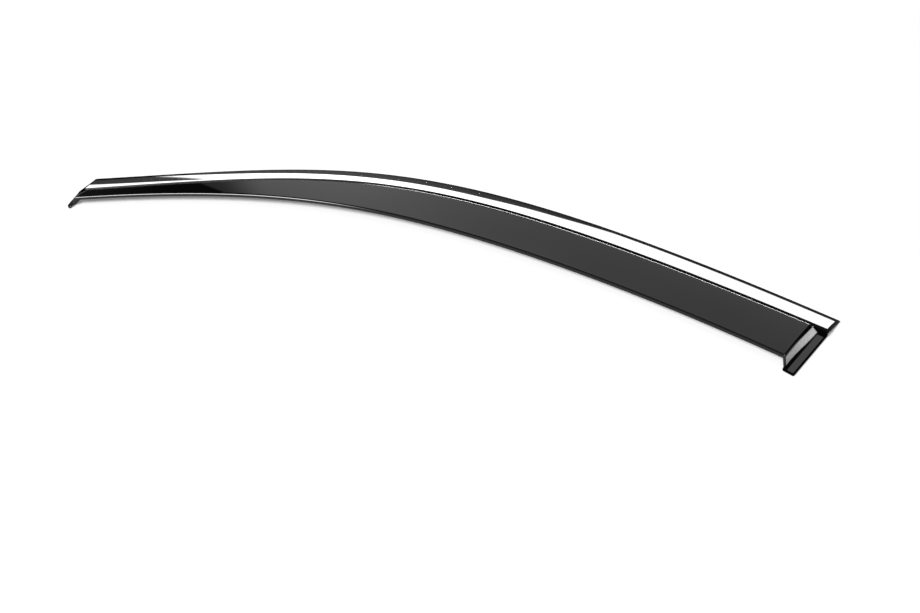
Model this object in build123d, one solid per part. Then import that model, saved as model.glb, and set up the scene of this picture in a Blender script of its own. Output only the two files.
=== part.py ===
from build123d import *
import os
from dataclasses import dataclass
from math import cos, radians, sin, sqrt, tan

# A stick-on rain deflector for a front door window, lying outer face up on its far edge and its two feet.
# Lengths are in millimetres and angles in degrees. The front end is the narrow one, on the windscreen pillar.

# Far edge of the bonding flange, one curve in plan
CHORD = 952.0  # straight distance between its two ends
FRONT_RAKE = 18.7  # angle between the chord and the edge at the front end
REAR_RAKE = 16.4  # the same at the rear end
FRONT_REACH = 331.0  # how far the front direction pulls the curve
REAR_REACH = 574.0  # the same for the rear direction
FRONT_CUT = 55.0  # angle between the far edge and the flange's front end cut
REAR_CUT = 84.0  # the same at the rear
CUT_FADE = 4  # power by which an end cut's slant fades along the edge
STATIONS = 11  # sections that each long form is lofted through

# Bonding flange
WALL = 2.8  # thickness of the moulding
GLUE = 0.15  # film between the moulding and what is stuck to it
GROOVE = 5.0  # bare channel between the trim and the panel's step
FLANGE_ROUND = 1.4  # rounding of the far edge's upper corner
TILT_FRONT = 17.6  # slope of the flange, rising towards the panel, at four even stations
TILT_BEND = 18.3
TILT_RUN = 10.6
TILT_REAR = 11.8

# Bright trim, a crowned strip on the flange, with bare black flange all round it
TRIM_MARGIN = 7.0  # bare flange beyond the strip's far edge
TRIM_WIDTH = 18.5
TRIM_SHEET = 0.8
TRIM_RADIUS = 110.0  # crown of the strip across its width
TRIM_SETBACK = 3.5  # bare flange left at each end of the strip
FLANGE_WIDTH = TRIM_MARGIN + TRIM_WIDTH + GROOVE  # far edge to the panel's step

# Panel and lip
STEP = 1.2  # panel's upper edge above the strip
PANEL_FRONT = 14.5  # width at five even stations
PANEL_SECOND = 31.0
PANEL_MIDDLE = 53.3
PANEL_FOURTH = 62.7
PANEL_REAR = 68.5
PANEL_RISE = 8.5  # slope of the panel towards the lip
PANEL_RADIUS = 500.0  # crown of the panel across its width
LIP_DROP = 5.0  # depth of the turned-down lip
LEAN_FRONT = 0.0  # lean of the lip and of the end walls' free edges, at the front end
LEAN_REAR = 15.0  # the same at the rear end
EDGE_ROUND = 2.0  # outer rounding of the panel's edges

# End walls and feet
WALL_DRAFT = 14.0  # lean of the end walls
FRONT_WALL = 41.0  # angle between the far edge and the front end wall and foot
REAR_WALL = 84.0  # the same for the rear foot
REAR_SWING = 5.2  # turn of the rear wall from its foot's edge, about the wall's free edge
REAR_SINK = 4.98  # how far the rear foot starts below the flange, which lays it level
SINK_FADE = 8  # power by which the step deepens towards the sunken foot
FRONT_FOOT = 1.5  # width of a foot outside its wall
REAR_FOOT = 12.5
FRONT_PAST = 0.5  # how far a foot runs past its wall's free edge
REAR_PAST = 3.5
FOOT_ROUND = 2.0  # corner rounding of a foot's free end
FOOT_EDGE = 0.8  # rounding of a foot's upper edges
LEDGE = 1.0  # how far a foot runs in past its wall

# Foam tape under the flange and the rear foot
TAPE = 1.1
TAPE_INSET = 8.0  # from the far edge
TAPE_WIDTH = 12.0
TAPE_END_GAP = 14.0
PAD_MARGIN = 1.5
PAD_GAP = 4.0  # between the flange and the rear foot's pad

DEEP = 60.0  # reach of cutting tools past the part
BURIED = WALL / 2  # overlap by which walls and feet run into each other
OVERRUN = 20.0  # length by which the panel's forms run past the flange before the end walls trim them

UP = Vector(0, 0, 1)


def through(values, u):
    """Smooth curve through evenly spaced values: the one polynomial that meets them all, at u from 0 to 1."""
    last = len(values) - 1
    total = 0.0
    for i, value in enumerate(values):
        weight = 1.0
        for j in range(last + 1):
            if j != i:
                weight *= (u * last - j) / (i - j)
        total += value * weight
    return total


def far_edge(u):
    """Point and direction of the far edge in plan, a cubic curve set by its ends' rakes and reaches."""
    front, rear = radians(FRONT_RAKE), radians(REAR_RAKE)
    a = Vector(0, 0)
    b = Vector(cos(front), sin(front)) * FRONT_REACH
    d = Vector(CHORD, 0)
    c = d - Vector(cos(rear), -sin(rear)) * REAR_REACH
    v = 1 - u
    point = a * v**3 + b * (3 * u * v**2) + c * (3 * u**2 * v) + d * u**3
    slope = (b - a) * v**2 + (c - b) * (2 * u * v) + (d - c) * u**2
    return point, slope.normalized()


def skew(u):
    """Slide along the edge for each millimetre towards the lip, so that the end sections follow the cuts."""
    front = (1 - u) ** CUT_FADE / tan(radians(FRONT_CUT))
    rear = u**CUT_FADE / tan(radians(REAR_CUT))
    return -front - rear


def upright(point, across):
    """Plane that stands on the ground: local x along across, local y up."""
    return Plane(point, x_dir=across, z_dir=across.cross(UP))


def section_plane(u):
    """Plane of one section, its local x towards the lip."""
    point, along = far_edge(u)
    return upright(point, Vector(along.Y, -along.X) + along * skew(u))


def spread(u):
    """Length in the slanted section plane of one millimetre square to the far edge."""
    return sqrt(1 + skew(u) ** 2)


def tilt(u):
    return radians(through((TILT_FRONT, TILT_BEND, TILT_RUN, TILT_REAR), u))


def on_flange(u, a, b):
    """Section point a along the flange's underside from the far edge and b above it."""
    t = tilt(u)
    return ((a * cos(t) - b * sin(t)) * spread(u), a * sin(t) + b * cos(t))


def panel_edge(u):
    """Upper edge of the panel, beyond the strip and the groove and a step above the strip."""
    q, z = on_flange(u, FLANGE_WIDTH, WALL + GLUE + TRIM_SHEET)
    return q, z + STEP


def panel_width(u):
    return through((PANEL_FRONT, PANEL_SECOND, PANEL_MIDDLE, PANEL_FOURTH, PANEL_REAR), u)


def lip_edge(u):
    """Outer corner of the lip, down the panel from its upper edge."""
    q, z = panel_edge(u)
    width = panel_width(u)
    rise = radians(PANEL_RISE)
    return q + width * cos(rise) * spread(u), z + width * sin(rise)


def lean_out(u, drop):
    """How far the leaning lip and wall edges move out over a drop, in the section plane."""
    return drop * tan(radians(through((LEAN_FRONT, LEAN_REAR), u))) * spread(u)


def foot_level(u):
    """Underside of the feet's free ends above the ground: the rear foot stands on its pad."""
    return through((0, TAPE + GLUE), u)


def sink(u):
    """How far the step reaches down below the flange."""
    return REAR_SINK * u**SINK_FADE


def bowed(p, q, radius, scale):
    """Crowned line from p to q: an arc that stands off its chord by chord squared over eight radii."""
    dx, dz = q[0] - p[0], q[1] - p[1]
    chord = sqrt((dx / scale) ** 2 + dz**2)
    stand = chord / (8 * radius)
    return ThreePointArc(p, ((p[0] + q[0]) / 2 - dz * stand, (p[1] + q[1]) / 2 + dx * stand), q)


def long_form(draw, gap):
    """Loft one drawn section along the far edge, leaving a gap at its front end and at its rear end."""
    first = gap / (3 * FRONT_REACH)
    last = 1 - gap / (3 * REAR_REACH)
    places = [first + (last - first) * i / (STATIONS - 1) for i in range(STATIONS)]
    return loft([section_plane(u) * make_face(draw(u)) for u in places])


def draw_flange(u):
    """Flange, its far upper corner rounded and its inner end run into the panel's step."""
    inner = FLANGE_WIDTH + BURIED
    bend = FLANGE_ROUND * (1 - sqrt(0.5))
    start, middle = on_flange(u, 0, WALL - FLANGE_ROUND), on_flange(u, bend, WALL - bend)
    end = on_flange(u, FLANGE_ROUND, WALL)
    rest = Polyline(end, on_flange(u, inner, WALL), on_flange(u, inner, 0), on_flange(u, 0, 0), start)
    return [ThreePointArc(start, middle, end), rest]


def draw_hull(u):
    """Filled outline under the panel, from the step to the end walls' free edge."""
    q, z = on_flange(u, FLANGE_WIDTH, BURIED)
    base = (q, z - sink(u))
    edge, lip = panel_edge(u), lip_edge(u)
    fall = lip[1] - foot_level(u) - BURIED
    tip = (lip[0] + lean_out(u, fall), lip[1] - fall)
    return [bowed(edge, lip, PANEL_RADIUS, spread(u)), Polyline(lip, tip, base, edge)]


def draw_hollow(u):
    """Air space under the panel, open below and in front of the lip."""
    wall = WALL * spread(u)
    edge, lip = panel_edge(u), lip_edge(u)
    back = (edge[0] + wall, edge[1] - WALL)
    front = (lip[0] - wall, lip[1] - WALL)
    mouth = (front[0] + lean_out(u, LIP_DROP - WALL), lip[1] - LIP_DROP)
    low_back = (on_flange(u, FLANGE_WIDTH, 0)[0] + wall, -DEEP)
    rest = Polyline(front, mouth, (lip[0] + DEEP, mouth[1]), (lip[0] + DEEP, -DEEP), low_back, back)
    return [bowed(back, front, PANEL_RADIUS, spread(u)), rest]


def trim_side(u, level):
    """One side of the strip's sheet: a crowned line from its far edge to the groove."""
    far, near = on_flange(u, TRIM_MARGIN, level), on_flange(u, TRIM_MARGIN + TRIM_WIDTH, level)
    return bowed(far, near, TRIM_RADIUS, spread(u))


def draw_trim(u):
    outer, inner = trim_side(u, WALL + GLUE + TRIM_SHEET), trim_side(u, WALL + GLUE)
    return [outer, Line(outer @ 1, inner @ 1), inner, Line(inner @ 0, outer @ 0)]


def draw_tape(u):
    low, high = TAPE_INSET, TAPE_INSET + TAPE_WIDTH
    top, bottom = -GLUE, -GLUE - TAPE
    corners = [(low, top), (high, top), (high, bottom), (low, bottom)]
    return Polyline(*[on_flange(u, a, b) for a, b in corners], close=True)


@dataclass
class End:
    """One end: its place on the far edge, its foot's angle, width, run past the wall and depth below the flange,
    and its wall's turn from the foot."""

    u: float
    angle: float
    foot: float
    past: float
    sink: float = 0.0
    swing: float = 0.0

    def base(self):
        """Upright plane through the flange's inner corner, beside which the wall and the foot run."""
        point, along = far_edge(self.u)
        angle = radians(self.angle)
        across = Vector(along.Y, -along.X) * sin(angle) - along * cos(angle)
        cut = section_plane(self.u)
        return upright(cut.origin + cut.x_dir * on_flange(self.u, FLANGE_WIDTH, 0)[0], across)

    def outward(self):
        """Level direction out of the part."""
        return self.base().z_dir * (1 if self.u < 0.5 else -1)

    def wall_plane(self, inset):
        """Leaning face of the end wall, or of its inner side when inset by the wall."""
        draft = radians(WALL_DRAFT)
        base = self.base()
        outward = self.outward().rotate(Axis.Z, self.swing)
        lean = outward * cos(draft) + UP * sin(draft)
        pivot = base.origin + base.x_dir * self.wall_length() - self.outward() * self.foot
        return Plane(pivot - outward * inset, z_dir=lean)

    def slope(self):
        """Underside of the foot from the flange to its free end: start height, length, rise per length."""
        start, height = on_flange(self.u, FLANGE_WIDTH, 0)
        lip, level = lip_edge(self.u), foot_level(self.u)
        reach = (lip[0] + lean_out(self.u, lip[1] - level) - start) / spread(self.u) + self.past
        length = reach / sin(radians(self.angle))
        height -= self.sink
        return height, length, (level - height) / length

    def wall_length(self):
        return self.slope()[1] - self.past

    def breadth(self):
        """Width of the foot at the flange, from its outer edge to a ledge inside its wall."""
        return self.foot + WALL + LEDGE + self.wall_length() * tan(radians(self.swing))

    def plate(self, first, last, low, high, inner, outer):
        """Plate along the foot's underside, low to high above it, between two distances inside the end."""
        base, outward = self.base(), self.outward()
        start, _, rise = self.slope()
        corners = [(first, low), (last, low), (last, high), (first, high)]
        origin = base.origin + UP * start - outward * inner
        places = [origin + base.x_dir * d + UP * (d * rise + z) for d, z in corners]
        return extrude(Face(Wire.make_polygon(places, close=True)), inner - outer, dir=outward)

    def make_foot(self):
        """Foot: it leaves the flange and comes down to the ground past the lip, with rounded free corners."""
        foot = self.plate(-BURIED, self.slope()[1], 0, WALL, self.foot + WALL + LEDGE, 0)
        along = Axis(self.base().origin, self.base().x_dir)
        foot = fillet(foot.edges().filter_by(Axis.Z).sort_by(along)[-2:], FOOT_ROUND)
        foot = fillet(foot.faces().sort_by(Axis.Z)[-1].edges(), FOOT_EDGE)
        ledge = self.plate(-BURIED, self.wall_length(), 0, WALL, self.breadth(), self.foot)
        riser = self.plate(-BURIED, BURIED, 0, self.sink + BURIED, self.breadth(), 0)
        return foot + split(ledge, self.wall_plane(WALL + LEDGE), keep=Keep.TOP) + riser

    def make_pad(self):
        """Foam pad under the foot, a margin inside its edges."""
        last = self.slope()[1] - PAD_MARGIN
        return self.plate(PAD_GAP, last, -GLUE - TAPE, -GLUE, self.foot + WALL, PAD_MARGIN)


front_end = End(0, FRONT_WALL, FRONT_FOOT, FRONT_PAST)
rear_end = End(1, REAR_WALL, REAR_FOOT, REAR_PAST, REAR_SINK, REAR_SWING)


def between_walls(solid, inset):
    """Part of a long form that lies between the two end walls."""
    kept = split(solid, front_end.wall_plane(inset), keep=Keep.BOTTOM)
    return split(kept, rear_end.wall_plane(inset), keep=Keep.BOTTOM)


def make_visor():
    """Whole moulding: flange, stepped panel with its lip, end walls and feet."""
    hull = between_walls(long_form(draw_hull, -OVERRUN), 0)
    bottom = hull.faces().sort_by(Axis.Z)[0]
    sharp = [edge for edge in hull.edges() if edge not in bottom.edges()]
    hull = fillet(sharp, EDGE_ROUND)
    shell = hull - between_walls(long_form(draw_hollow, -OVERRUN), WALL)
    return long_form(draw_flange, 0) + shell + front_end.make_foot() + rear_end.make_foot()


nodes = {
    "visor": make_visor(),
    "bright_trim": long_form(draw_trim, TRIM_SETBACK),
    "flange_tape": long_form(draw_tape, TAPE_END_GAP),
    "rear_pad_tape": rear_end.make_pad(),
}
box = Compound([solid for node in nodes.values() for solid in node.solids()]).bounding_box()
to_origin = Location((-box.center().X, -box.center().Y, -box.min.Z))
os.makedirs("parts", exist_ok=True)
for name, node in nodes.items():
    export_step(to_origin * node, f"parts/{name}.step")
    print(name, round(node.volume), "cubic mm")
print("size", box.size, "moved by", to_origin.position)
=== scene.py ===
# %% [markdown]
# # A stick-on rain deflector for a car's front door window
#
# The real part is a long moulding of gloss black plastic with a strip of mirror bright steel along the
# flange that is taped to the window frame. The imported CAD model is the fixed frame: the pieces here have
# its sizes and lie in its place. Its faces are flat triangles, though, and a mirror finish shows every one
# of them, so the moulding and the strip are worked out again here as fine, smooth surfaces, which stand
# for their CAD nodes.

# %% Load the frame
from math import cos, radians, sin, tan

import bpy
import numpy as np
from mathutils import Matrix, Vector


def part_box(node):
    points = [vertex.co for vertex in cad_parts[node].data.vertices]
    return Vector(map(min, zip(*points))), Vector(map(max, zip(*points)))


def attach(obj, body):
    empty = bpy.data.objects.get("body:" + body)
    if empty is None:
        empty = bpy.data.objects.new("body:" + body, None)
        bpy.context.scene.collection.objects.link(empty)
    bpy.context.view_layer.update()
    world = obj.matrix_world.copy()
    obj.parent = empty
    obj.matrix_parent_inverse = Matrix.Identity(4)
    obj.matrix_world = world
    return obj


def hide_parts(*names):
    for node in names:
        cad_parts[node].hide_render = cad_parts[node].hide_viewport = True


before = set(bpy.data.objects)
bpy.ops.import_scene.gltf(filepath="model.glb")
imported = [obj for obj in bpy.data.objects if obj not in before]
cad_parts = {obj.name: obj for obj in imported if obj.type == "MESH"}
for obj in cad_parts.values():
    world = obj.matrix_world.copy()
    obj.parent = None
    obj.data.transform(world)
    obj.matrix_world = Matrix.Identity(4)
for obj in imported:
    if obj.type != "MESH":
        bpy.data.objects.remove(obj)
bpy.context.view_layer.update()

print("CAD nodes:", sorted(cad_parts))

# %% [markdown]
# ## The form, as functions
#
# A deflector follows one curve, the far edge of its flange, which is flat on the ground and bends in plan.
# Everything else is measured from that curve: a place is given by u, the share of the way along the curve,
# by w, the distance square to it towards the lip, and by the height z. The sections turn towards the
# slanted ends, so w also slides a point along the curve there. The sizes are the moulding's own, in
# metres.

# %% Sizes of the moulding, the strip and the panel
MM = 0.001
CHORD = 952 * MM
FRONT_RAKE, REAR_RAKE = radians(18.7), radians(16.4)
FRONT_REACH, REAR_REACH = 331 * MM, 574 * MM
FRONT_CUT, REAR_CUT = radians(55), radians(84)
CUT_FADE = 4

WALL = 2.8 * MM
GLUE = 0.15 * MM
GROOVE = 5 * MM
FLANGE_ROUND = 1.4 * MM
FLANGE_TILTS = np.radians([17.6, 18.3, 10.6, 11.8])

TRIM_MARGIN = 7 * MM
TRIM_WIDTH = 18.5 * MM
TRIM_SHEET = 0.8 * MM
TRIM_RADIUS = 110 * MM
TRIM_SETBACK = 3.5 * MM
FLANGE_WIDTH = TRIM_MARGIN + TRIM_WIDTH + GROOVE

STEP = 1.2 * MM
PANEL_WIDTHS = np.array([14.5, 31.0, 53.3, 62.7, 68.5]) * MM
PANEL_RISE = radians(8.5)
PANEL_RADIUS = 500 * MM
LIP_DROP = 5 * MM
LIP_LEANS = np.radians([0.0, 15.0])
EDGE_ROUND = 2 * MM
BURIED = WALL / 2


# %% Curves along the part
def through(values, u):
    """The one polynomial that meets evenly spaced values, u running from 0 at the first to 1 at the last:
    each value times the product over the others of (u - place) / (own place - place)."""
    places = np.linspace(0, 1, len(values))
    total = 0
    for i, value in enumerate(values):
        others = np.delete(places, i)
        total = total + value * np.prod([(u - other) / (places[i] - other) for other in others], axis=0)
    return total


def far_edge(u):
    """Cubic curve a(1-u)^3 + 3b u(1-u)^2 + 3c u^2(1-u) + d u^3 in plan, with its unit direction."""
    a, d = np.array([0, 0]), np.array([CHORD, 0])
    b = FRONT_REACH * np.array([cos(FRONT_RAKE), sin(FRONT_RAKE)])
    c = d - REAR_REACH * np.array([cos(REAR_RAKE), -sin(REAR_RAKE)])
    u = np.asarray(u, float)[..., None]
    v = 1 - u
    point = a * v**3 + b * 3 * u * v**2 + c * 3 * u**2 * v + d * u**3
    along = (b - a) * v**2 + (c - b) * 2 * u * v + (d - c) * u**2
    return point, along / np.linalg.norm(along, axis=-1, keepdims=True)


def slide(u):
    """How far a point slides along the edge for each metre towards the lip: the slant of the end cuts,
    which fades inwards as a power of the distance."""
    return -((1 - u) ** CUT_FADE) / tan(FRONT_CUT) - u**CUT_FADE / tan(REAR_CUT)


def place(u, w, z):
    """Point at share u along the far edge, w square to it towards the lip, and height z."""
    u, w, z = np.broadcast_arrays(np.asarray(u, float), w, z)
    point, along = far_edge(u)
    square = np.stack([along[..., 1], -along[..., 0]], -1)
    plan = point + (square + along * slide(u)[..., None]) * w[..., None]
    return np.concatenate([plan, z[..., None]], -1)


def on_flange(u, a, b):
    """Section place (w, z) that lies a along the tilted flange's underside and b above it."""
    tilt = through(FLANGE_TILTS, u)
    return a * np.cos(tilt) - b * np.sin(tilt), a * np.sin(tilt) + b * np.cos(tilt)


print("far edge ends at", far_edge(1.0)[0], "and slides", round(float(slide(0.0)), 3), "at the front")

# %% [markdown]
# ## From arrays to meshes
#
# Every surface here is a grid of points: one row for each station, one column for each point of a profile.
# Neighbouring points make four-sided faces, by the same index arithmetic on every grid, so one helper does
# it. A mesh is then filled from whole arrays. Edges that turn by more than a set angle stay sharp in the
# shading.

# %% Grid and mesh helpers
SHARP_ANGLE = radians(35)


def grid_faces(rows, columns, ring=False):
    """Quads of a grid of points numbered row by row; a ring joins each row's last point to its first."""
    r = np.arange(rows - 1)[:, None]
    c = np.arange(columns if ring else columns - 1)[None, :]
    step = (c + 1) % columns
    quads = [r * columns + c, r * columns + step, (r + 1) * columns + step, (r + 1) * columns + c]
    return np.stack(quads, -1).reshape(-1, 4)


def swept_sheet(outer, inner):
    """Closed wall between two grids of equal shape, stations by profile points: outer face, inner face turned
    over, the two long edges and the two end caps, as one ring of points for each station."""
    stations, points = outer.shape[:2]
    ring = np.concatenate([outer, inner[:, ::-1]], 1)
    faces = grid_faces(stations, 2 * points, ring=True)
    i = np.arange(points - 1)
    cap = np.stack([i, 2 * points - 1 - i, 2 * points - 2 - i, i + 1], -1)
    far_cap = cap[:, ::-1] + (stations - 1) * 2 * points
    return ring.reshape(-1, 3), np.concatenate([faces, cap, far_cap]), []


def build_piece(name, shells, origin):
    """Joins closed shells, each given by its points, quads and many-sided caps, into one mesh object that is
    placed in the row frame."""
    points, faces, start = [], [], 0
    for shell_points, quads, caps in shells:
        points.append(shell_points + origin)
        faces.extend((quads + start).tolist())
        faces.extend((cap + start).tolist() for cap in caps)
        start += len(shell_points)
    mesh = bpy.data.meshes.new(name)
    mesh.from_pydata(np.concatenate(points).tolist(), [], faces)
    mesh.polygons.foreach_set("use_smooth", np.ones(len(mesh.polygons), bool))
    mesh.set_sharp_from_angle(angle=SHARP_ANGLE)
    mesh.validate()
    piece = bpy.data.objects.new(name, mesh)
    bpy.context.scene.collection.objects.link(piece)
    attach(piece, "root")
    print(name, "has", len(mesh.vertices), "points and", len(mesh.polygons), "faces")
    return piece


# %% [markdown]
# ## The bright strip
#
# On the real part this is thin stainless sheet, stuck on the flange with a border of bare black round it
# and crowned a little across its width, so that it catches the light as one long band. It could be
# bevelled from a flat ribbon, but a mirror shows any unevenness, so its profile is drawn exactly, as a
# crowned line, and carried along the curve.

# %% Strip profile and sweep
TRIM_STATIONS, TRIM_POINTS = 320, 33


def crown_of(chord, radius, share):
    """Height of a shallow arc over its chord: its stand, chord^2 / 8 radius, times 4 share (1 - share)."""
    return chord**2 / (2 * radius) * share * (1 - share)


def inside_ends(gap, count):
    """Stations from a gap inside the front end to a gap inside the rear end."""
    return np.linspace(gap / (3 * FRONT_REACH), 1 - gap / (3 * REAR_REACH), count)[:, None]


def trim_side(level):
    """One side of the sheet: a crowned line from its far edge to the groove, at a level above the flange's
    underside, at each station."""
    u = inside_ends(TRIM_SETBACK, TRIM_STATIONS)
    share = np.linspace(0, 1, TRIM_POINTS)
    crown = crown_of(TRIM_WIDTH, TRIM_RADIUS, share)
    return place(u, *on_flange(u, TRIM_MARGIN + TRIM_WIDTH * share, level + crown))


trim_outer, trim_inner = trim_side(WALL + GLUE + TRIM_SHEET), trim_side(WALL + GLUE)
print("strip's outer face:", trim_outer.shape[0], "stations of", trim_outer.shape[1], "points")

# %% Strip in the row frame
trim_low = np.minimum(trim_outer, trim_inner).reshape(-1, 3).min(0)
row_origin = np.array(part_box("bright_trim")[0]) - trim_low
bright_trim = build_piece("bright_trim_strip", [swept_sheet(trim_outer, trim_inner)], row_origin)
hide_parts("bright_trim")
print("shift into the row frame:", row_origin.round(5))

# %% [markdown]
# ## The panel, with its step, lip and end walls
#
# This is the part of the moulding that sheds the rain: a crowned panel that stands a step above the strip,
# turned down at the lip and closed by a leaning wall at each end. It is made as a tray: a box whose points
# are given by three distances, from the nearer end wall, from the nearer long edge and from the top.
# Pulling the points that are nearer than the rounding to two or three faces onto a ball of that radius
# rounds every edge and corner at once. Only then is the box bent into shape. The same box, set in by the
# wall, is the inner skin. The base of the rear wall is drawn out a little near the step, so that the pale
# band painted on it as a reflection keeps its breadth.

# %% The panel's shape
REAR_SINK = 4.98 * MM
SINK_FADE = 8


def upper_edge(u):
    """Section place of the panel's upper edge, a step above the strip."""
    w, z = on_flange(u, FLANGE_WIDTH, WALL + GLUE + TRIM_SHEET)
    return w, z + STEP


def sink(u):
    """How far the step reaches down below the flange: only near the rear foot, which is sunk to lie level."""
    return REAR_SINK * u**SINK_FADE


def hull(u, share, depth):
    """Point at a share of the panel's width from the step to the lip and at a depth below its crowned face:
    (w, z) = upper edge + width share (cos rise, sin rise) + crown (-sin rise, cos rise)
    + depth (slant, -1)."""
    edge_w, edge_z = upper_edge(u)
    base_w, base_z = on_flange(u, FLANGE_WIDTH, BURIED)
    width = through(PANEL_WIDTHS, u)
    crown = crown_of(width, PANEL_RADIUS, share)
    step_slant = (base_w - edge_w) / (edge_z - base_z + sink(u))
    slant = step_slant * (1 - share) + np.tan(through(LIP_LEANS, u)) * share
    w = edge_w + width * share * cos(PANEL_RISE) - crown * sin(PANEL_RISE) + depth * slant
    z = edge_z + width * share * sin(PANEL_RISE) + crown * cos(PANEL_RISE) - depth
    return place(u, w, z)


# %% The two ends
WALL_DRAFT = radians(14)
FRONT_WALL, REAR_WALL = radians(41), radians(84)
FRONT_FOOT, REAR_FOOT = 1.5 * MM, 12.5 * MM
FRONT_PAST, REAR_PAST = 0.5 * MM, 3.5 * MM
REAR_SWING = radians(5.2)
REAR_FLARE = 1.1
TAPE = 1.1 * MM
NEWTON_STEPS, NUDGE = 5, 1e-4


class End:
    """One end of the part: the level directions along and out of its foot, the foot's length, and its wall's
    leaning plane, which is turned from the foot's edge about the wall's free edge and may flare out."""

    def __init__(self, u, angle, foot, past, swing=0.0, flare=0.0):
        self.u, self.foot, self.swing, self.flare = u, foot, swing, flare
        along = far_edge(u)[1]
        square = np.array([along[1], -along[0]])
        side = 1 if u > 0.5 else -1
        start_w = on_flange(u, FLANGE_WIDTH, 0)[0]
        self.corner = place(u, start_w, 0.0)
        self.across = np.append(square * sin(angle) - along * cos(angle), 0)
        self.outward = np.append(along * sin(angle) + square * cos(angle), 0) * side

        edge_w, edge_z = upper_edge(u)
        width = through(PANEL_WIDTHS, u)
        lean = (edge_z + width * sin(PANEL_RISE) - self.foot_level()) * tan(through(LIP_LEANS, u))
        self.length = (edge_w + width * cos(PANEL_RISE) + lean - start_w + past) / sin(angle)
        self.wall_length = self.length - past
        self.pivot = self.corner + self.across * self.wall_length - self.outward * foot
        x, y, _ = self.outward
        turned = np.array([x * cos(swing) - y * sin(swing), x * sin(swing) + y * cos(swing), 0])
        self.normal = turned * cos(WALL_DRAFT) + np.array([0, 0, sin(WALL_DRAFT)])

    def station(self, share, depth):
        """Where along the far edge the hull meets the wall, by a few steps of Newton's method: there the
        hull's distance out of the plane is flare (1 - share)^2 depth."""
        u = np.full(np.broadcast(share, depth).shape, float(self.u))
        for _ in range(NEWTON_STEPS):
            here, there = hull(u, share, depth), hull(u + NUDGE, share, depth)
            off = (here - self.pivot) @ self.normal - self.flare * (1 - share) ** 2 * depth
            u = u - NUDGE * off / ((there - here) @ self.normal)
        return u

    def foot_level(self):
        """Underside of the foot's free end: the rear foot stands on its pad."""
        return self.u * (TAPE + GLUE)

    def depth(self, share):
        """How far down the wall runs: to the line from the step's buried base to the tip of its free edge."""
        top = hull(self.u, share, 0)[..., 2]
        base = on_flange(self.u, FLANGE_WIDTH, BURIED)[1] - sink(self.u)
        return top - (base + (self.foot_level() + BURIED - base) * share)


front_end = End(0.0, FRONT_WALL, FRONT_FOOT, FRONT_PAST)
rear_end = End(1.0, REAR_WALL, REAR_FOOT, REAR_PAST, REAR_SWING, REAR_FLARE)
wall_heights = [round(float(end.depth(1.0)) / MM, 1) for end in (front_end, rear_end)]
print("walls stand", wall_heights, "mm high at the lip")

# %% Tray of points
LONG_CELLS, CROSS_CELLS, ROUND_CELLS, SIDE_CELLS = 260, 30, 7, 16
HAIR = 0.02 * MM

# Metres square to an end wall for each unit of the share along the part, near that end
FRONT_SPAN = 3 * FRONT_REACH * sin(FRONT_WALL)
REAR_SPAN = 3 * REAR_REACH * sin(REAR_WALL)

round_steps = EDGE_ROUND * (1 - np.tan(np.linspace(np.pi / 4, 0, ROUND_CELLS + 1)))
wall_steps = np.concatenate([round_steps, [WALL, WALL + HAIR]])
long_share = np.concatenate([
    wall_steps / FRONT_SPAN,
    np.linspace(2 * WALL / FRONT_SPAN, 1 - 2 * WALL / REAR_SPAN, LONG_CELLS),
    1 - wall_steps[::-1] / REAR_SPAN,
])
LAST_LONG = len(long_share) - 1
LAST_CROSS = CROSS_CELLS + 2 * ROUND_CELLS
LAST_SIDE = ROUND_CELLS + SIDE_CELLS


def tray_faces():
    """Places (along, across, down) of the tray's points as whole numbers, and its quads, each facing out."""
    along, across, down = [np.arange(last + 1) for last in (LAST_LONG, LAST_CROSS, LAST_SIDE)]
    sides = [
        (along[::-1], across, down[:1]),
        (along, across[:1], down),
        (along[::-1], across[-1:], down),
        (along[:1], across[::-1], down),
        (along[-1:], across, down),
    ]
    places, quads, start = [], [], 0
    for side in sides:
        cells = np.stack(np.meshgrid(*side, indexing="ij"), -1)
        rows, columns = [n for n in cells.shape[:3] if n > 1]
        places.append(cells.reshape(-1, 3))
        quads.append(grid_faces(rows, columns)[:, ::-1] + start)
        start += rows * columns
    welded, number = np.unique(np.concatenate(places), axis=0, return_inverse=True)
    return welded, number.ravel()[np.concatenate(quads)]


tray_places, tray_quads = tray_faces()
long_cell, cross_cell, down_cell = tray_places.T
print("tray of", len(tray_places), "points and", len(tray_quads), "faces")

# %% Three distances of each point
along = long_share[long_cell]
near_front = along < 0.5
end_gap = np.where(near_front, along * FRONT_SPAN, (1 - along) * REAR_SPAN)

width = through(PANEL_WIDTHS, along)
near_step = cross_cell <= LAST_CROSS // 2
from_edge = np.minimum(cross_cell, LAST_CROSS - cross_cell)
inside = EDGE_ROUND + (width - 2 * EDGE_ROUND) * (from_edge - ROUND_CELLS) / CROSS_CELLS
side_gap = np.where(from_edge < ROUND_CELLS, round_steps[np.minimum(from_edge, ROUND_CELLS)], inside)

cross_share = np.where(near_step, side_gap, width - side_gap) / width
wall_depth = np.where(near_front, front_end.depth(cross_share), rear_end.depth(cross_share))
step_depth = upper_edge(along)[1] - on_flange(along, FLANGE_WIDTH, BURIED)[1] + sink(along)
on_wall = end_gap < WALL + HAIR / 2
full_depth = np.where(on_wall, wall_depth, np.where(near_step, step_depth, LIP_DROP))
below = EDGE_ROUND + (full_depth - EDGE_ROUND) * (down_cell - ROUND_CELLS) / SIDE_CELLS
top_gap = np.where(down_cell < ROUND_CELLS, round_steps[np.minimum(down_cell, ROUND_CELLS)], below)
print("sides run down", round(float(top_gap.max()) / MM, 1), "mm at most")

# %% Rounding and bending into two skins
SQUEEZE = 0.04
TINY = 1e-9


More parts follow.
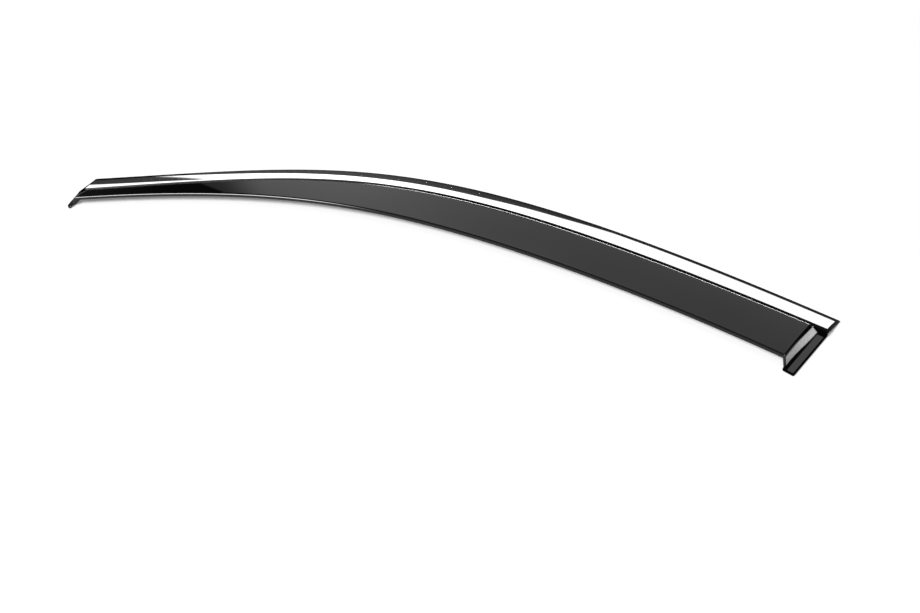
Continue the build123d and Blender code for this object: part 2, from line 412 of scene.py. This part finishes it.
def bend(ends, sides, tops):
    """Bends a box, given by its three distances, into the hull's shape between the two end walls."""
    s = np.where(near_front, ends / FRONT_SPAN, 1 - ends / REAR_SPAN)
    share = np.where(near_step, sides, width - sides) / width
    first, last = front_end.station(share, tops), rear_end.station(share, tops)
    return hull(first + (last - first) * s, share, tops)


box = np.stack([end_gap, side_gap, top_gap], -1)
core = np.maximum(box, EDGE_ROUND)
off = box - core
reach = np.linalg.norm(off, axis=-1, keepdims=True)
outer_skin = bend(*(core + EDGE_ROUND * off / np.maximum(reach, TINY)).T)

past_wall = end_gap + SQUEEZE * WALL + WALL * np.clip(2 - end_gap / WALL, 0, 1)
inner_ends = np.where(on_wall, WALL + SQUEEZE * end_gap, past_wall)
inner_sides = WALL + side_gap * (1 - 2 * WALL / width)
inner_tops = WALL + top_gap * (1 - WALL / full_depth)
inner_skin = bend(inner_ends, inner_sides, inner_tops)


def closed_tray(outer, inner, quads):
    """Outer skin, inner skin turned over, and a rim across the edges that belong to one face only."""
    edges = np.stack([quads, np.roll(quads, -1, 1)], -1).reshape(-1, 2)
    _, first, count = np.unique(np.sort(edges, 1), axis=0, return_index=True, return_counts=True)
    rim = edges[first[count == 1]]
    rim_quads = np.concatenate([rim[:, ::-1], rim + len(outer)], 1)
    faces = np.concatenate([quads, quads[:, ::-1] + len(outer), rim_quads])
    return np.concatenate([outer, inner]), faces, []


panel_shell = closed_tray(outer_skin, inner_skin, tray_quads)
print("panel shell of", len(panel_shell[1]), "faces")

# %% [markdown]
# ## The flange and the feet
#
# The flange is the strip of moulding that the tape holds to the frame. Only its border, its groove and its
# ends show, so its profile is a plain one with a rounded far corner. The feet are flat tongues that the
# end walls stand on: their outline has two rounded free corners and their upper edge a small round, which
# is the same outline drawn smaller and higher. The rear foot lies level below the flange, a small upright
# block joins the two, and two more outlines on that foot mark off a field that is polished.

# %% Flange
FLANGE_STATIONS, ROUND_POINTS = 240, 8
FLANGE_MIDDLE = TRIM_MARGIN + TRIM_WIDTH / 2


def flange_shell():
    """Flange from the far edge to just inside the step: a quarter circle and a flat above, a flat below."""
    u = np.linspace(0, 1, FLANGE_STATIONS)[:, None]
    turn = np.linspace(0, np.pi / 2, ROUND_POINTS)
    flat = [2 * FLANGE_ROUND, FLANGE_MIDDLE, FLANGE_WIDTH + BURIED]
    a = np.append(FLANGE_ROUND * (1 - np.cos(turn)), flat)
    b = np.append(WALL - FLANGE_ROUND * (1 - np.sin(turn)), [WALL] * len(flat))
    under = np.linspace(0, FLANGE_WIDTH + BURIED, len(a))
    return swept_sheet(place(u, *on_flange(u, a, b)), place(u, *on_flange(u, under, 0)))


flange = flange_shell()
print("flange shell of", len(flange[1]), "faces")

# %% Outlines on a foot
FOOT_ROUND, FOOT_EDGE, LEDGE = 2 * MM, 0.8 * MM, 1 * MM
FOOT_ROUND_POINTS = 7
FIELD_START, FIELD_BORDER, FIELD_WIDTH, FIELD_ROUND = 5 * MM, 1.8 * MM, 8.7 * MM, 1.5 * MM
FIELD_SOFT = 0.3 * MM
quarter = np.linspace(0, np.pi / 2, FOOT_ROUND_POINTS)
UP = np.array([0, 0, 1])


def foot_points(end, d, e, h):
    """Places d along a foot from the flange, e in from its outer edge and h above its underside."""
    start_z = on_flange(end.u, FLANGE_WIDTH, 0)[1] - sink(end.u)
    z = start_z + d * (end.foot_level() - start_z) / end.length + h
    return end.corner + d[..., None] * end.across - e[..., None] * end.outward + z[..., None] * UP


def foot_outline(near, far, low, high, high_near, radius):
    """Outline of a plate with two rounded free corners: places d along it and e in from its outer edge."""
    first, second = radius * (1 - np.sin(quarter)), radius * (1 - np.cos(quarter))
    d = np.concatenate([[near], far - first, far - second, [near]])
    e = np.concatenate([[low], low + second, high - first, [high_near]])
    return d, e


def field_outline(end, inset):
    """Outline of the polished field on a foot, inside a dull border."""
    low, high = FIELD_BORDER + inset, FIELD_BORDER + FIELD_WIDTH - inset
    far = end.length - FIELD_BORDER - inset
    return foot_outline(FIELD_START + inset, far, low, high, high, FIELD_ROUND - inset)


rear_fields = [field_outline(rear_end, inset) for inset in (0, FIELD_SOFT)]
field_points = len(rear_fields[0][0])
print("field outlines of", field_points, "points")


# %% Feet and riser
def foot_shell(end, fields=()):
    """Plate from the flange to past the lip, broader at the flange by as much as its wall is turned: rings
    of one outline, each smaller than the last by as much as the rounded upper edge has turned in, and then
    the outlines of its field."""
    breadth = end.foot + WALL + LEDGE
    broad = breadth + (end.wall_length + BURIED) * tan(end.swing)
    insets = np.append(0, FOOT_EDGE * (1 - np.cos(quarter)))
    heights = np.append(0, WALL - FOOT_EDGE * (1 - np.sin(quarter)))
    outlines = [
        foot_outline(-BURIED, end.length - inset, inset, breadth - inset, broad - inset, FOOT_ROUND - inset)
        for inset in insets
    ]
    outlines.extend(fields)
    h = np.append(heights, [WALL] * len(fields))[:, None]
    d, e = np.array(outlines).swapaxes(0, 1)
    rings, points = d.shape
    faces = grid_faces(rings, points, ring=True)
    caps = [np.arange(points)[::-1], np.arange(points) + (rings - 1) * points]
    if end.u > 0.5:
        faces = faces[:, ::-1]
        caps = [cap[::-1] for cap in caps]
    return foot_points(end, d, e, h).reshape(-1, 3), faces, caps


def riser_shell(end):
    """Upright block that joins a sunk foot to the flange, as high as the foot is sunk."""
    d = np.array([[-BURIED, BURIED]])
    e = np.array([[end.foot + WALL + LEDGE + end.wall_length * tan(end.swing)], [0]])
    d, e = np.broadcast_arrays(d, e)
    return swept_sheet(foot_points(end, d, e, sink(end.u) + BURIED), foot_points(end, d, e, 0))


front_foot, rear_foot = foot_shell(front_end), foot_shell(rear_end, rear_fields)
riser = riser_shell(rear_end)
print("feet and riser of", [len(points) for points, _, _ in (front_foot, rear_foot, riser)], "points")

# %% The moulding in the row frame
visor_shells = [panel_shell, flange, front_foot, rear_foot, riser]
visor = build_piece("visor_moulding", visor_shells, row_origin)
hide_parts("visor")

# %% [markdown]
# ## Where the moulding is polished
#
# One moulding, but not one finish. The panel and the front foot are polished like glass, and so is a field
# on the rear foot inside a dull border. The bare border of the flange is duller, and its rim, its groove
# and the hidden side are much as they came out of the mould. The rear end wall has a pale band between
# polished edges, painted as the reflection of the white ground on that wall. Cutting the mesh up by
# material would leave hard borders, so each point of the mesh carries two numbers instead, how polished it
# is and how much of that painted reflection it has, and the material reads them.

# %% Painted reflection band on the rear wall
# Where the pale reflection band is painted on the rear wall, and how soft its border is.
BAND_TOP_GAP, BAND_TOP_SHARE = 1.2 * MM, 0.12
BAND_END_GAP, BAND_END_SHARE = 1.1 * MM, 0.8
REFLECTION_BAND_SOFT = 0.4 * MM


def step_up(distance):
    """0 to 1 over a soft border."""
    return np.clip(0.5 + distance / (2 * REFLECTION_BAND_SOFT), 0, 1)


above_foot = full_depth - BURIED
band_top = BAND_TOP_GAP + BAND_TOP_SHARE * above_foot
band_end = BAND_END_GAP + BAND_END_SHARE * above_foot
on_rear_wall = (long_cell == LAST_LONG) & (from_edge >= ROUND_CELLS)
# Painted reflection: the pale band stands for the white ground mirrored on the leaning rear wall.
painted_reflection_band = step_up(top_gap - band_top) * step_up(band_end - top_gap) * on_rear_wall
print("frosted points:", int((painted_reflection_band > 0).sum()))

# %% Polish and frost at each point
BORDER_POLISH, HIDDEN_POLISH = 0.4, 0.2


def mark(piece, name, values):
    """Stores one number at each point of a mesh, shell after shell."""
    values = np.concatenate(values).astype(np.float32)
    piece.data.attributes.new(name, "FLOAT", "POINT").data.foreach_set("value", values)
    print(name, "runs from", values.min(), "to", values.max())


plain = [np.zeros(len(points)) for points, _, _ in visor_shells]
panel_polish = np.concatenate([1 - painted_reflection_band, np.full(len(inner_skin), HIDDEN_POLISH)])
across_flange = [0.0] * ROUND_POINTS + [BORDER_POLISH, BORDER_POLISH, 0.0]
flange_polish = np.tile(across_flange + [0.0] * len(across_flange), FLANGE_STATIONS)
rear_polish = np.append(plain[3][field_points:], np.ones(field_points))
mark(visor, "polish", [panel_polish, flange_polish, plain[2] + 1, rear_polish, plain[4]])
# The second number marks where the reflection on the rear wall is painted.
mark(visor, "painted_reflection", [np.concatenate([painted_reflection_band, np.zeros(len(inner_skin))]), *plain[1:]])

# %% [markdown]
# ## Writing shaders as sums
#
# The finishes below are small formulas: a noise times a strength, plus a base. Spelling them out as node
# calls hides the formula, so one small class wraps a socket: its operators add Math nodes, and one method
# adds any other node.


# %% A socket that can be added and multiplied
class Wire:
    """A node socket in one tree. Operators add a Math node, and node() adds any node and gives back one of
    its outputs."""

    def __init__(self, tree, socket=None):
        self.tree, self.socket = tree, socket

    def node(self, kind, settings=None, sockets=None, out=0):
        made = self.tree.nodes.new(kind)
        for name, value in (settings or {}).items():
            setattr(made, name, value)
        for name, value in (sockets or {}).items():
            if isinstance(value, Wire):
                self.tree.links.new(value.socket, made.inputs[name])
            else:
                made.inputs[name].default_value = value
        return Wire(self.tree, made.outputs[out])

    def math(self, operation, *values):
        return self.node("ShaderNodeMath", {"operation": operation}, dict(enumerate(values)))

    def __add__(self, other):
        return self.math("ADD", self, other)

    def __sub__(self, other):
        return self.math("SUBTRACT", self, other)

    def __rsub__(self, other):
        return self.math("SUBTRACT", other, self)

    def __mul__(self, other):
        return self.math("MULTIPLY", self, other)

    def __truediv__(self, other):
        return self.math("DIVIDE", self, other)

    __radd__ = __add__
    __rmul__ = __mul__

    def line(self, start, slope):
        """Straight line over this value."""
        return start + self * slope

    def past(self, low, high):
        """0 below low, 1 above high, with a smooth step between them."""
        settings = {"interpolation_type": "SMOOTHSTEP"}
        return self.node("ShaderNodeMapRange", settings, {"Value": self, "From Min": low, "From Max": high})

    def between(self, low, high, soft):
        """1 from low to high and 0 elsewhere, each edge a smooth step of twice soft."""
        return self.past(low - soft, low + soft) * (1.0 - self.past(high - soft, high + soft))

    def noise(self, scale, detail=2.0):
        """Cloudy noise between 0 and 1 at this place, with so many cells to the metre."""
        return self.node("ShaderNodeTexNoise", {}, {"Vector": self, "Scale": scale, "Detail": detail})

    def mixed(self, first, second):
        """Colour between two others by this factor."""
        return self.node("ShaderNodeMix", {"data_type": "RGBA"}, {0: self, 6: first, 7: second}, out=2)

    def ends_in(self, kind):
        """Makes this shader the tree's result."""
        made = self.tree.nodes.new(kind)
        self.tree.links.new(self.socket, made.inputs[0])


# %% Empty finish and greys
def finish(name):
    """New material with an empty tree."""
    material = bpy.data.materials.new(name)
    material.use_nodes = True
    material.node_tree.nodes.clear()
    return material, Wire(material.node_tree)


def grey(level):
    """Colour of one grey level."""
    return (level, level, level, 1.0)


# %% [markdown]
# ## Black acrylic
#
# Polished black acrylic has nearly no colour of its own: what shows is the clear reflection of the room on
# its skin, a little uneven from the mould. The skin is the shader's coat, because its weight may change
# over the surface, from the polished panel to the dull groove. The pale band on the rear wall is painted:
# a pale, grainy base colour without the coat, which stands for the white ground mirrored on that wall.

# %% Black finish
CLOUD_CELLS, HAZE_CELLS, GRAIN_CELLS = 60.0, 14.0, 900.0
BLACKS = grey(0.0014), grey(0.0026)
# Pale greys of the reflection painted on the rear wall, mixed by a random grain.
PAINTED_REFLECTION_GREYS = grey(0.50), grey(0.85)
COAT_LEAST, COAT_HAZE = 0.70, 0.08


def black_gloss():
    """Black base under a clear coat that follows the polish, and a pale, grainy base where a reflection is
    painted.
    """
    material, net = finish("black_gloss")
    spot = net.node("ShaderNodeTexCoord", out="Object")
    polish = net.node("ShaderNodeAttribute", {"attribute_name": "polish"}, out="Fac")
    painted_reflection = net.node("ShaderNodeAttribute", {"attribute_name": "painted_reflection"}, out="Fac")
    cloud, haze, grain = spot.noise(CLOUD_CELLS, 3.0), spot.noise(HAZE_CELLS), spot.noise(GRAIN_CELLS)
    # Painted reflection on the rear wall: a pale, grainy base in place of the black.
    painted_reflection_grey = grain.past(0.3, 0.7).mixed(*PAINTED_REFLECTION_GREYS)
    bump = net.node("ShaderNodeBump", {}, {"Height": grain * painted_reflection, "Strength": 0.2, "Distance": 0.0003})
    sockets = {
        "Base Color": painted_reflection.mixed(cloud.mixed(*BLACKS), painted_reflection_grey),
        "Roughness": 0.4 + cloud * 0.2,
        "Specular IOR Level": 0.0,
        "Coat Weight": polish * (COAT_LEAST + haze * COAT_HAZE),
        "Coat Roughness": 0.02,
        "Coat IOR": 1.49,
        "Normal": bump,
    }
    net.node("ShaderNodeBsdfPrincipled", {}, sockets).ends_in("ShaderNodeOutputMaterial")
    return material


visor.data.materials.append(black_gloss())
print("the moulding's finish is", visor.data.materials[0].name)

# %% [markdown]
# ## Bright steel and foam
#
# The strip is mirror stainless with faint polishing lines along its length, so its noise is stretched that
# way. The tapes are dark closed-cell foam with a fine, dry grain. They keep their CAD solids, which are
# plain strips anyway.

# %% Steel and foam finishes
LINE_CELLS = (12.0, 900.0, 900.0)
STEELS = (0.94, 0.945, 0.95, 1.0), (0.97, 0.975, 0.98, 1.0)
FOAM_CELLS = 2500.0
FOAMS = grey(0.018), grey(0.05)


def bright_steel():
    """Mirror metal whose tone and gloss change along fine polishing lines."""
    material, net = finish("bright_steel")
    spot = net.node("ShaderNodeTexCoord", out="Object")
    streak = net.node("ShaderNodeVectorMath", {"operation": "MULTIPLY"}, {0: spot, 1: LINE_CELLS})
    lines = streak.noise(1.0, 3.0)
    sockets = {"Base Color": lines.mixed(*STEELS), "Metallic": 1.0, "Roughness": 0.02 + lines * 0.04}
    net.node("ShaderNodeBsdfPrincipled", {}, sockets).ends_in("ShaderNodeOutputMaterial")
    return material


def foam_tape():
    """Dry dark foam with small round cells."""
    material, net = finish("foam_tape")
    spot = net.node("ShaderNodeTexCoord", out="Object")
    cells = net.node("ShaderNodeTexVoronoi", {}, {"Vector": spot, "Scale": FOAM_CELLS})
    bump = net.node("ShaderNodeBump", {}, {"Height": cells, "Strength": 0.3, "Distance": 0.0002})
    sockets = {"Base Color": cells.mixed(*FOAMS), "Roughness": 0.8 + cells * 0.15, "Normal": bump}
    net.node("ShaderNodeBsdfPrincipled", {}, sockets).ends_in("ShaderNodeOutputMaterial")
    return material


bright_trim.data.materials.append(bright_steel())
foam = foam_tape()
for name in ("flange_tape", "rear_pad_tape"):
    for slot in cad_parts[name].material_slots:
        slot.material = foam
print("finishes:", [material.name for material in bpy.data.materials if material.users])

# %% [markdown]
# ## Camera
#
# The part is seen from 50 degrees above the ground, through a long lens, turned a little so that its rear
# end is nearer. The aim is given from the front end of the far edge, so that it stays on the part wherever
# the row frame begins.

# %% Camera
VIEW_DISTANCE = 3.1707
VIEW_HEIGHT, VIEW_TURN = radians(50), radians(14.24)
LENS, SENSOR = 101.74, 36.0
AIM_FROM_FRONT = Vector((0.49935, -0.08928, 0.0))
forward = Vector((-sin(VIEW_TURN), cos(VIEW_TURN), 0.0))
rightward = Vector((cos(VIEW_TURN), sin(VIEW_TURN), 0.0))
upward = Vector((0.0, 0.0, 1.0))

lens = bpy.data.cameras.new("camera")
lens.sensor_width, lens.lens = SENSOR, LENS
camera = bpy.data.objects.new("camera", lens)
aim = Vector(row_origin.tolist()) + AIM_FROM_FRONT
camera.location = aim + VIEW_DISTANCE * (upward * sin(VIEW_HEIGHT) - forward * cos(VIEW_HEIGHT))
camera.rotation_euler = (aim - camera.location).to_track_quat("-Z", "Y").to_euler()
bpy.context.scene.collection.objects.link(camera)
bpy.context.scene.camera = camera
print("camera at", [round(x, 4) for x in camera.location])

# %% [markdown]
# ## The room in the mirror
#
# Black gloss and mirror steel show nothing but the room, so the room matters as much as the finish. Real
# walls, flags and lamps could be built, but each would also throw light and shadow. A world drawn by
# direction is simpler: turn is the angle to the right of straight ahead and height the angle above the
# ground, in degrees. There is a white wall behind the part, brightest a little to the left of straight
# ahead. Below it lies a dark edge of the floor, at its lower left a dark wedge, at its left and right
# black flags, and above it a dark ceiling. A low lamp behind the part draws a line along the panel's edge,
# and one behind the viewer a line on the lip.

# %% White wall
SIDE_LEVEL, WALL_LEVEL, WALL_GLOW = 0.6, 1.07, 1.05
GLOW_TURN, GLOW_SPREAD = -1.5, 7.0
WALL_SIDES = (-34.0, 26.0, 4.0)
DIM_SHARE, DIM_TURN, DIM_HEIGHT = 0.75, (-7.0, -4.7), (21.0, 24.0)
LIFT_SHARE, LIFT_HEIGHT = 0.55, (43.0, 47.0)


def white_wall(turn, height):
    """Level plus glow times exp(-((turn - middle) / spread)^2), dimmer at the upper left, brighter near the
    top and plain past its two sides."""
    hump = (turn - GLOW_TURN) / GLOW_SPREAD
    glow = WALL_GLOW * turn.math("EXPONENT", 0.0 - hump * hump)
    dim = (1.0 - turn.past(*DIM_TURN)) * height.past(*DIM_HEIGHT)
    wall = (WALL_LEVEL + glow) * (1.0 - dim * DIM_SHARE) * (1.0 + LIFT_SHARE * height.past(*LIFT_HEIGHT))
    return SIDE_LEVEL + (wall - SIDE_LEVEL) * turn.between(*WALL_SIDES)


# %% Dark floor edge, wedge, right flag and ceiling
DARKNESS = 0.97
EDGE_LEFT, EDGE_RIGHT, EDGE_TOP, EDGE_SOFT = (13.6, 1.9), (37.7, -1.43), 25.0, 0.6
WEDGE_BASE, WEDGE_BASE_SOFT = (107.5, 13.5), 4.0
WEDGE_LEAST, WEDGE_RISE, WEDGE_TOP_SOFT = 12.8, 21.3, 1.0
WEDGE_SIDES = (-30.0, -5.9, 0.4)
RIGHT_START, RIGHT_END = (19.3, 20.3), (80.0, 110.0)
CEILING = (55.0, 64.0)


def light_left(turn, height):
    """Share of the wall's light that the dark parts of the room leave."""
    edge = turn.math("MINIMUM", turn.line(*EDGE_LEFT), turn.line(*EDGE_RIGHT))
    edge = turn.math("MINIMUM", edge, EDGE_TOP)
    floor_edge = 1.0 - (height - edge).past(-EDGE_SOFT, EDGE_SOFT)
    above_base = (height - turn.line(*WEDGE_BASE)).past(-WEDGE_BASE_SOFT, WEDGE_BASE_SOFT)
    wedge_top = turn.math("MAXIMUM", WEDGE_LEAST, turn + WEDGE_RISE)
    below_top = 1.0 - (height - wedge_top).past(-WEDGE_TOP_SOFT, WEDGE_TOP_SOFT)
    wedge = above_base * below_top * turn.between(*WEDGE_SIDES)
    low_dark = turn.math("MAXIMUM", floor_edge, wedge)
    right_flag = turn.past(*RIGHT_START) * (1.0 - turn.past(*RIGHT_END))
    ceiling = height.past(*CEILING)
    return (1.0 - low_dark * DARKNESS) * (1.0 - right_flag * DARKNESS) * (1.0 - ceiling * DARKNESS)


# %% Left flag
FLAG_LEVEL = 0.015
FLAG_EDGE, FLAG_SOFT = (-11.7, 0.15), 0.1
FLAG_END, FLAG_FOOT = (-60.0, -35.0), (22.0, 24.5)
SPILL, SPILL_START, SPILL_SPAN = 0.04, -9.3, 6.0


def left_flag(turn, height):
    """Share that the flag covers, with an edge that leans with the height, and its level, which grows a
    little towards the left."""
    off_edge = turn - height.line(*FLAG_EDGE)
    share = (1.0 - off_edge.past(-FLAG_SOFT, FLAG_SOFT)) * turn.past(*FLAG_END) * height.past(*FLAG_FOOT)
    spill = turn.math("MINIMUM", turn.math("MAXIMUM", SPILL_START - turn, 0.0), SPILL_SPAN)
    return share, FLAG_LEVEL + SPILL * spill


# %% Low lamp and lip lamp
LOW_LEVEL, LOW_SIDES, LOW_FOOT = 26.0, (1.0, 18.5, 1.0), (-9.0, -8.0)
LOW_TOP, LOW_SLOPE, LOW_SOFT = 11.0, (-1.0, 1.9), 0.5
LIP_LEVEL, LIP_SIDES, LIP_HEIGHTS = 36.0, (-24.0, 3.0, 5.0), (8.0, 46.0, 3.0)


def lamps(turn, turn_behind, height):
    """Light of the two lamps; the low one's top slopes down towards the left."""
    top = turn.math("MINIMUM", LOW_TOP, turn.line(*LOW_SLOPE))
    low_heights = height.past(*LOW_FOOT) * (1.0 - (height - top).past(-LOW_SOFT, LOW_SOFT))
    low_lamp = LOW_LEVEL * turn.between(*LOW_SIDES) * low_heights
    lip_lamp = LIP_LEVEL * turn_behind.between(*LIP_SIDES) * height.between(*LIP_HEIGHTS)
    return low_lamp + lip_lamp


# %% [markdown]
# ## Who sees the room
#
# Only rays that a polished face mirrors, or a clear one lets through, see the drawn room. The camera sees
# plain white, and matt faces get an even fill, so the room can be as bright as its reflections need
# without lighting the paper.

# %% Room by direction
FILL_LEVEL = 0.25
DEGREE = radians(1)


def room():
    """World that is white to the camera, the drawn room to mirror rays and an even fill to the rest."""
    world = bpy.data.worlds.new("room")
    world.use_nodes = True
    world.node_tree.nodes.clear()
    bpy.context.scene.world = world
    net = Wire(world.node_tree)
    look = net.node("ShaderNodeTexCoord", out="Generated")
    ahead, beside, above = [
        net.node("ShaderNodeVectorMath", {"operation": "DOT_PRODUCT"}, {0: look, 1: way}, out="Value")
        for way in (forward, rightward, upward)
    ]
    turn = net.math("ARCTAN2", beside, ahead) / DEGREE
    turn_behind = net.math("ARCTAN2", beside, 0.0 - ahead) / DEGREE
    height = net.math("ARCSINE", above) / DEGREE

    seen = white_wall(turn, height) * light_left(turn, height)
    flag_share, flag_level = left_flag(turn, height)
    seen = seen + (flag_level - seen) * flag_share + lamps(turn, turn_behind, height)

    camera_ray = net.node("ShaderNodeLightPath", out="Is Camera Ray")
    mirror_ray = net.node("ShaderNodeLightPath", out="Is Glossy Ray")
    through_ray = net.node("ShaderNodeLightPath", out="Is Transmission Ray")
    level = FILL_LEVEL + net.math("MAXIMUM", mirror_ray, through_ray) * (seen - FILL_LEVEL)
    level = level + camera_ray * (1.0 - level)
    sockets = {"Color": grey(1.0), "Strength": level}
    net.node("ShaderNodeBackground", {}, sockets).ends_in("ShaderNodeOutputWorld")
    return world


print("world:", room().name, "with", len(bpy.context.scene.world.node_tree.nodes), "nodes")

# %% [markdown]
# ## Floor and light
#
# The part lies on white paper. A broad soft light from above the viewer and to the left lights it at a
# plain level, together with the even fill, so that the paper comes out white and only the ground under the
# lip is in shade. One distant lamp with a wide disc does it, because its light is the same all over the
# paper. Polished faces don't mirror it: their room is drawn. The paper ends just behind the part, because
# the far edge of the strip would mirror it as a white streak.

# %% Floor and lamp
FLOOR_SIZE = 8.0
FLOOR_BEHIND = 0.12
FLOOR_WHITE, PAPER_TONE, PAPER_CELLS = 0.9, 0.01, 3.0
FLOOR_LIFT = 0.17
KEY_LEVEL = 3.1
KEY_HEIGHT, KEY_TURN, KEY_DISC = radians(52), radians(-48), radians(20)


def white_floor():
    """Matt white floor, lifted a little for the rays that look at it, so that its lit part is plain white."""
    half = FLOOR_SIZE / 2
    mesh = bpy.data.meshes.new("floor")
    corners = [(-half, -half, 0), (half, -half, 0), (half, FLOOR_BEHIND, 0), (-half, FLOOR_BEHIND, 0)]
    mesh.from_pydata(corners, [], [(0, 1, 2, 3)])
    floor = bpy.data.objects.new("floor", mesh)
    bpy.context.scene.collection.objects.link(floor)
    material, net = finish("white_floor")
    spot = net.node("ShaderNodeTexCoord", out="Object")
    paper = spot.noise(PAPER_CELLS).mixed(grey(FLOOR_WHITE - PAPER_TONE), grey(FLOOR_WHITE + PAPER_TONE))
    matt = net.node("ShaderNodeBsdfDiffuse", {}, {"Color": paper})
    glow = net.node("ShaderNodeEmission", {}, {"Color": grey(1.0), "Strength": FLOOR_LIFT})
    camera_ray = net.node("ShaderNodeLightPath", out="Is Camera Ray")
    mirror_ray = net.node("ShaderNodeLightPath", out="Is Glossy Ray")
    lift = net.node("ShaderNodeMixShader", {}, {0: net.math("MAXIMUM", camera_ray, mirror_ray), 2: glow})
    net.node("ShaderNodeAddShader", {}, {0: matt, 1: lift}).ends_in("ShaderNodeOutputMaterial")
    mesh.materials.append(material)
    return floor


def key_lamp():
    """Distant lamp with a wide disc, above the viewer and to the left."""
    data = bpy.data.lights.new("key_lamp", "SUN")
    data.energy, data.angle = KEY_LEVEL, KEY_DISC
    lamp = bpy.data.objects.new("key_lamp", data)
    level_way = rightward * sin(KEY_TURN) - forward * cos(KEY_TURN)
    way = level_way * cos(KEY_HEIGHT) + upward * sin(KEY_HEIGHT)
    lamp.rotation_euler = way.to_track_quat("Z", "Y").to_euler()
    lamp.visible_glossy = False
    bpy.context.scene.collection.objects.link(lamp)
    return lamp


floor, key = white_floor(), key_lamp()
print(floor.name, FLOOR_SIZE, "m wide; lamp level", round(key.data.energy, 2))

# %% [markdown]
# ## View transform
#
# The colours are shown through the standard view transform.

# %% View transform
bpy.context.scene.view_settings.view_transform = "Standard"
